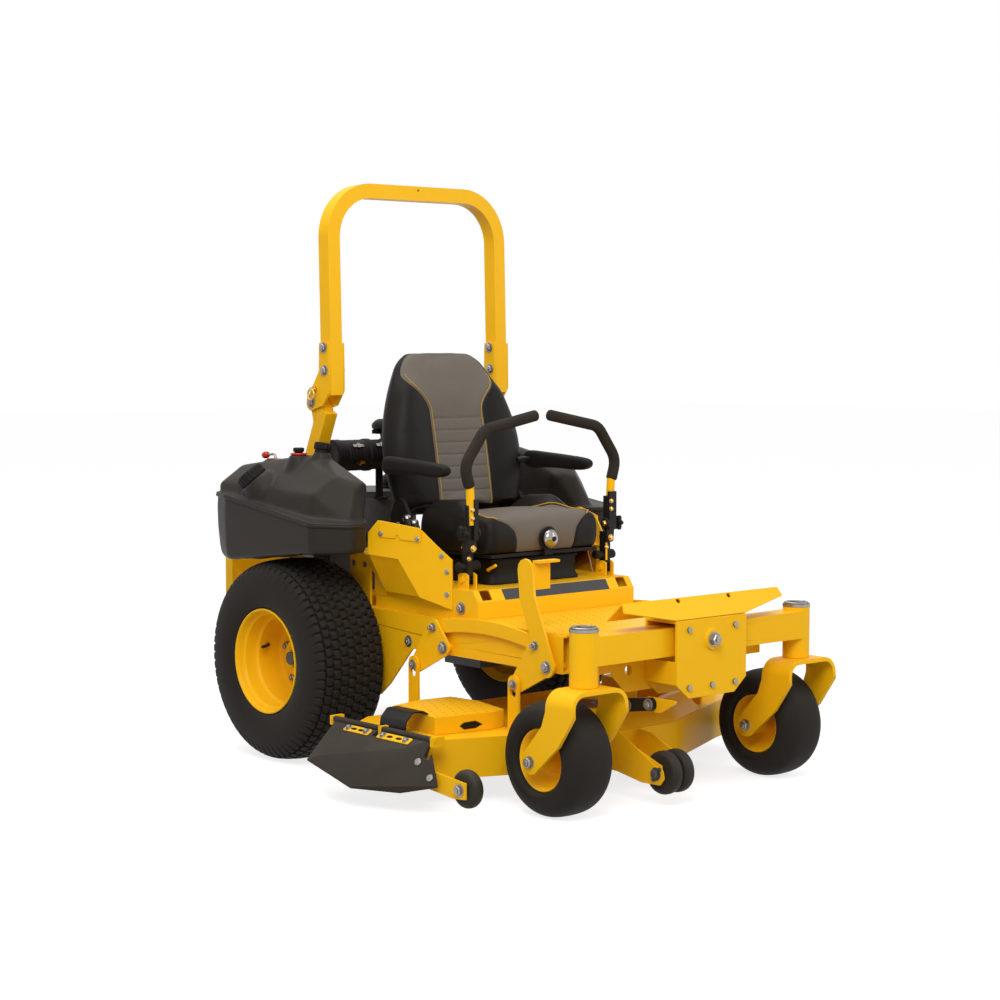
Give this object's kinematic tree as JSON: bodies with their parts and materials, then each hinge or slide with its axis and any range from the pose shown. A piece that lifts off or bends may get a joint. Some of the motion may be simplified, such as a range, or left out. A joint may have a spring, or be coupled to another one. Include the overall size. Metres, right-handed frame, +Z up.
{
  "type": "zero turn mower",
  "caption": "Ride-on zero turn mower with rear drive wheels, swivelling front casters, lap levers, a sprung seat, a folding rollover hoop and a side-discharge mowing deck that lifts.",
  "frame": {"origin": "on the ground, on the middle plane, straight below the rear axle", "axes": "-Y to the front, -X to the operator's right (the discharge side), +Z up"},
  "size_m": [1.4877, 2.007, 1.7584],
  "materials": {
    "yellow_paint": "gloss powder coat",
    "black_plastic": "fine grain",
    "tyre_rubber": "matt",
    "soft_rubber": "matt",
    "vinyl": "sewn vinyl",
    "engine_metal": "cast and coated",
    "dark_steel": "satin",
    "bright_steel": "zinc plated",
    "warm_steel": "heat tinted",
    "red_plastic": "gloss"
  },
  "bodies": {
    "chassis": {"frame_rails": "yellow_paint", "rear_frame": "yellow_paint", "front_housing": "yellow_paint", "floor_pan": "yellow_paint", "kick_plate": "yellow_paint", "seat_console": "yellow_paint", "fender_panels": "yellow_paint", "rops_posts": "yellow_paint", "tank_right": "black_plastic", "tank_left": "black_plastic", "engine": "engine_metal", "air_cleaner": "black_plastic", "silencer": "warm_steel", "transaxles": "engine_metal", "seat_base": "black_plastic", "chassis_bolts": "bright_steel"},
    "front_axle": {"axle_beam": "yellow_paint", "bearing_caps": "bright_steel"},
    "caster_fork_right": {"fork_right": "yellow_paint"},
    "caster_fork_left": {"fork_left": "yellow_paint"},
    "caster_wheel_right": {"caster_tyre_right": "tyre_rubber", "caster_rim_right": "yellow_paint"},
    "caster_wheel_left": {"caster_tyre_left": "tyre_rubber", "caster_rim_left": "yellow_paint"},
    "rear_wheel_right": {"rear_tyre_right": "tyre_rubber", "rear_rim_right": "yellow_paint"},
    "rear_wheel_left": {"rear_tyre_left": "tyre_rubber", "rear_rim_left": "yellow_paint"},
    "rollover_hoop": {"rops_hoop": "yellow_paint"},
    "lock_pin_right": {"lock_pin_right": "bright_steel"},
    "lock_pin_left": {"lock_pin_left": "bright_steel"},
    "lever_right": {"lever_arm_right": "dark_steel"},
    "lever_left": {"lever_arm_left": "dark_steel"},
    "handle_right": {"lever_handle_right": "yellow_paint", "lever_grip_right": "soft_rubber"},
    "handle_left": {"lever_handle_left": "yellow_paint", "lever_grip_left": "soft_rubber"},
    "seat": {"seat_pan": "black_plastic", "seat_cushion": "vinyl"},
    "seat_back": {"seat_back": "vinyl"},
    "armrest_right": {"armrest_right": "black_plastic"},
    "armrest_left": {"armrest_left": "black_plastic"},
    "seat_knob": {"seat_knob": "black_plastic"},
    "front_lift": {"front_lift": "yellow_paint"},
    "rear_lift": {"rear_lift": "yellow_paint"},
    "lift_links": {"lift_links": "yellow_paint"},
    "deck": {"deck_shell": "yellow_paint", "belt_covers": "yellow_paint"},
    "chute": {"chute": "soft_rubber"},
    "spindle_right": {"spindle_right": "bright_steel"},
    "spindle_middle": {"spindle_middle": "bright_steel"},
    "spindle_left": {"spindle_left": "bright_steel"},
    "nose_rollers": {"nose_rollers": "soft_rubber"},
    "side_wheel_right": {"side_wheel_right": "soft_rubber"},
    "side_wheel_left": {"side_wheel_left": "soft_rubber"},
    "engine_pulley": {"engine_pulley": "bright_steel"},
    "fuel_cap_right": {"fuel_cap_right": "black_plastic"},
    "fuel_cap_left": {"fuel_cap_left": "black_plastic"},
    "throttle_lever": {"throttle_lever": "red_plastic"},
    "blade_switch": {"blade_switch": "red_plastic"}
  },
  "joints": [
    {"name": "axle_rock", "type": "hinge", "parent": "chassis", "child": "front_axle", "pos_m": [0, -1.226, 0.4563], "axis": [0, 1, 0], "range_deg": [-4, 4]},
    {"name": "caster_swivel_right", "type": "hinge", "parent": "front_axle", "child": "caster_fork_right", "pos_m": [-0.4215, -1.226, 0.36], "axis": [0, 0, 1], "continuous": true},
    {"name": "caster_spin_right", "type": "hinge", "parent": "caster_fork_right", "child": "caster_wheel_right", "pos_m": [-0.4215, -1.127, 0.1575], "axis": [1, 0, 0], "continuous": true},
    {"name": "caster_swivel_left", "type": "hinge", "parent": "front_axle", "child": "caster_fork_left", "pos_m": [0.4215, -1.226, 0.36], "axis": [0, 0, 1], "continuous": true},
    {"name": "caster_spin_left", "type": "hinge", "parent": "caster_fork_left", "child": "caster_wheel_left", "pos_m": [0.4215, -1.127, 0.1575], "axis": [1, 0, 0], "continuous": true},
    {"name": "rear_wheel_spin_right", "type": "hinge", "parent": "chassis", "child": "rear_wheel_right", "pos_m": [-0.472, 0, 0.306], "axis": [1, 0, 0], "continuous": true},
    {"name": "rear_wheel_spin_left", "type": "hinge", "parent": "chassis", "child": "rear_wheel_left", "pos_m": [0.472, 0, 0.306], "axis": [1, 0, 0], "continuous": true},
    {"name": "hoop_fold", "type": "hinge", "parent": "chassis", "child": "rollover_hoop", "pos_m": [0, 0.065, 1.083], "axis": [-1, 0, 0], "range_deg": [0, 100]},
    {"name": "lock_pin_pull_right", "type": "slide", "parent": "rollover_hoop", "child": "lock_pin_right", "axis": [-1, 0, 0], "range_m": [0, 0.06]},
    {"name": "lock_pin_pull_left", "type": "slide", "parent": "rollover_hoop", "child": "lock_pin_left", "axis": [1, 0, 0], "range_m": [0, 0.06]},
    {"name": "lever_drive_right", "type": "hinge", "parent": "chassis", "child": "lever_right", "pos_m": [-0.276, -0.578, 0.58], "axis": [1, 0, 0], "range_deg": [-8, 16]},
    {"name": "handle_swing_right", "type": "hinge", "parent": "lever_right", "child": "handle_right", "pos_m": [-0.276, -0.5963, 0.672], "axis": [0, -1, 0], "range_deg": [0, 30]},
    {"name": "lever_drive_left", "type": "hinge", "parent": "chassis", "child": "lever_left", "pos_m": [0.276, -0.578, 0.58], "axis": [1, 0, 0], "range_deg": [-8, 16]},
    {"name": "handle_swing_left", "type": "hinge", "parent": "lever_left", "child": "handle_left", "pos_m": [0.276, -0.5963, 0.672], "axis": [0, 1, 0], "range_deg": [0, 30]},
    {"name": "seat_slide", "type": "slide", "parent": "chassis", "child": "seat", "axis": [0, -1, 0], "range_m": [-0.045, 0.045]},
    {"name": "seat_recline", "type": "hinge", "parent": "seat", "child": "seat_back", "pos_m": [0, -0.212, 0.715], "axis": [1, 0, 0], "range_deg": [-12, 6]},
    {"name": "armrest_lift_right", "type": "hinge", "parent": "seat_back", "child": "armrest_right", "pos_m": [-0.286, -0.236, 0.898], "axis": [-1, 0, 0], "range_deg": [0, 85]},
    {"name": "armrest_lift_left", "type": "hinge", "parent": "seat_back", "child": "armrest_left", "pos_m": [0.286, -0.236, 0.898], "axis": [-1, 0, 0], "range_deg": [0, 85]},
    {"name": "seat_knob_turn", "type": "hinge", "parent": "seat", "child": "seat_knob", "pos_m": [0, -0.65, 0.6869], "axis": [0, 1, 0], "continuous": true},
    {"name": "deck_lift", "type": "hinge", "parent": "chassis", "child": "front_lift", "pos_m": [0, -1.007, 0.38], "axis": [1, 0, 0], "range_deg": [0, 34]},
    {"name": "rear_lift_turn", "type": "hinge", "parent": "chassis", "child": "rear_lift", "pos_m": [0, -0.563, 0.386], "axis": [1, 0, 0], "range_deg": [0, 34]},
    {"name": "link_turn", "type": "hinge", "parent": "front_lift", "child": "lift_links", "pos_m": [0, -0.961, 0.4345], "axis": [1, 0, 0], "range_deg": [-34, 0]},
    {"name": "deck_rise", "type": "slide", "parent": "chassis", "child": "deck", "axis": [0, 0.1662, 0.9861], "range_m": [0, 0.07976]},
    {"name": "chute_flip", "type": "hinge", "parent": "deck", "child": "chute", "pos_m": [-0.653, -0.66, 0.197], "axis": [0, 1, 0], "range_deg": [0, 95]},
    {"name": "blade_spin_right", "type": "hinge", "parent": "deck", "child": "spindle_right", "pos_m": [-0.405, -0.64, 0.15], "axis": [0, 0, 1], "continuous": true},
    {"name": "blade_spin_middle", "type": "hinge", "parent": "deck", "child": "spindle_middle", "pos_m": [0, -0.83, 0.15], "axis": [0, 0, 1], "continuous": true},
    {"name": "blade_spin_left", "type": "hinge", "parent": "deck", "child": "spindle_left", "pos_m": [0.405, -0.64, 0.15], "axis": [0, 0, 1], "continuous": true},
    {"name": "nose_roller_spin", "type": "hinge", "parent": "deck", "child": "nose_rollers", "pos_m": [-0.105, -1.236, 0.094], "axis": [1, 0, 0], "continuous": true},
    {"name": "side_wheel_spin_right", "type": "hinge", "parent": "deck", "child": "side_wheel_right", "pos_m": [-0.648, -1.02, 0.086], "axis": [1, 0, 0], "continuous": true},
    {"name": "side_wheel_spin_left", "type": "hinge", "parent": "deck", "child": "side_wheel_left", "pos_m": [0.648, -1.02, 0.086], "axis": [1, 0, 0], "continuous": true},
    {"name": "engine_spin", "type": "hinge", "parent": "chassis", "child": "engine_pulley", "pos_m": [0, 0.3, 0.35], "axis": [0, 0, 1], "continuous": true},
    {"name": "fuel_cap_turn_right", "type": "hinge", "parent": "chassis", "child": "fuel_cap_right", "pos_m": [-0.543, 0.104, 0.841], "axis": [-0.4763, 0.4384, 0.7622], "range_deg": [0, 120]},
    {"name": "fuel_cap_turn_left", "type": "hinge", "parent": "chassis", "child": "fuel_cap_left", "pos_m": [0.543, 0.104, 0.841], "axis": [0.4763, 0.4384, 0.7622], "range_deg": [0, 120]},
    {"name": "throttle_move", "type": "hinge", "parent": "chassis", "child": "throttle_lever", "pos_m": [-0.432, 0.16, 0.896], "axis": [1, 0, 0], "range_deg": [-8, 40]},
    {"name": "blade_switch_pull", "type": "slide", "parent": "chassis", "child": "blade_switch", "axis": [0, 0, 1], "range_m": [0, 0.012]}
  ],
  "couplings": [
    {"joint": "rear_lift_turn", "follows": "deck_lift", "ratio": 1},
    {"joint": "link_turn", "follows": "deck_lift", "ratio": -1},
    {"joint": "deck_rise", "follows": "deck_lift", "m_per_rad": 0.13441},
    {"joint": "blade_spin_right", "follows": "engine_spin", "ratio": 1.0546},
    {"joint": "blade_spin_middle", "follows": "engine_spin", "ratio": 1.0546},
    {"joint": "blade_spin_left", "follows": "engine_spin", "ratio": 1.0546}
  ]
}
